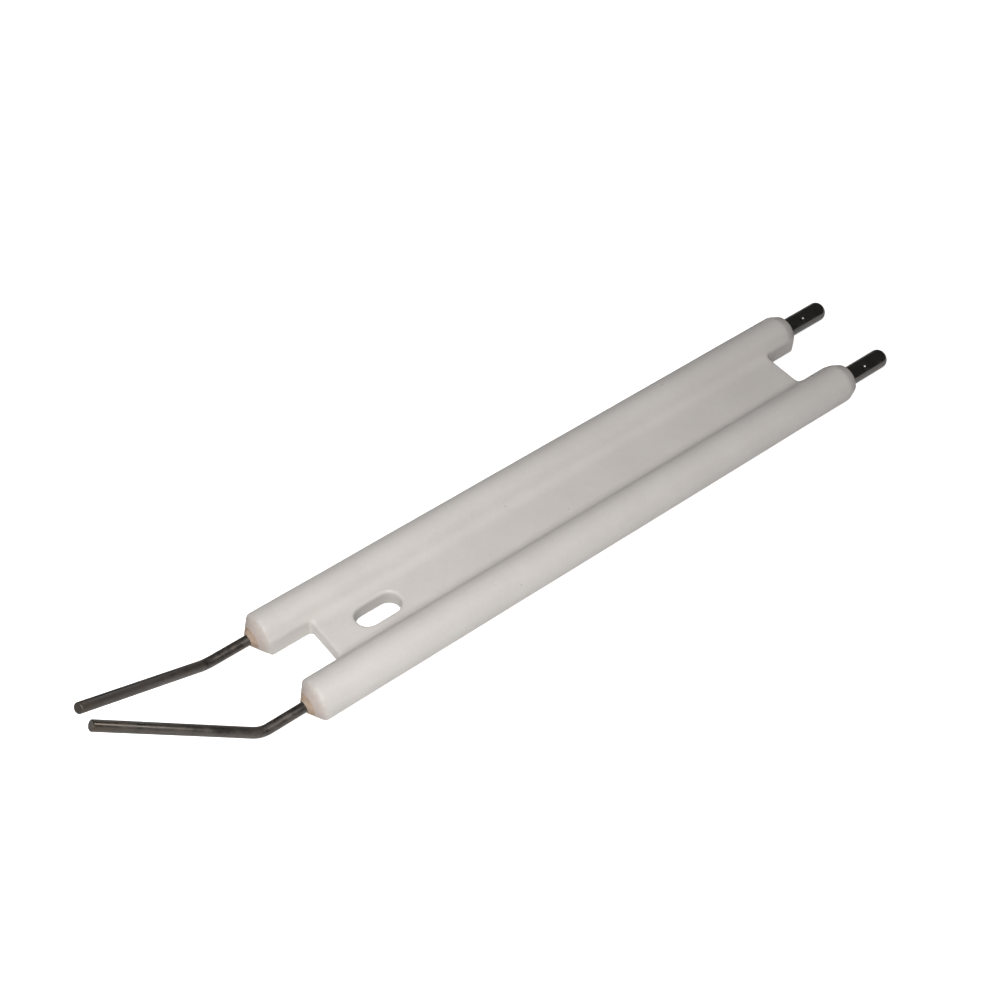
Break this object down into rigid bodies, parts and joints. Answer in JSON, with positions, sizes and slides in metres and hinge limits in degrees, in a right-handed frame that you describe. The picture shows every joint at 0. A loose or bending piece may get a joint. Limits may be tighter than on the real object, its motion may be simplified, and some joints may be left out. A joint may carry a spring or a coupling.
{
  "type": "ignition electrode",
  "caption": "Double ignition electrode: two bridged ceramic tubes with a slotted web, bent wires meeting at a spark gap, and round terminal pins.",
  "frame": {"origin": "centre line of the clamp slot, level with the two tube axes", "axes": "+Y along the tubes towards the terminal pins, +Z square to the web on the side the wires bend to, +X from the left tube to the right tube"},
  "size_m": [0.0256, 0.1759, 0.022],
  "materials": {
    "insulator": "satin white glaze",
    "electrode_wire": "dark oxidised resistance alloy",
    "terminal_pin": "dark polished, blackened",
    "cement": "matt sandy cement"
  },
  "bodies": {
    "root": {"insulator_block": "insulator", "electrode_wire_left": "electrode_wire", "electrode_wire_right": "electrode_wire", "terminal_pin_left": "terminal_pin", "terminal_pin_right": "terminal_pin", "front_cement_left": "cement", "front_cement_right": "cement", "rear_cement_left": "cement", "rear_cement_right": "cement"}
  },
  "joints": []
}
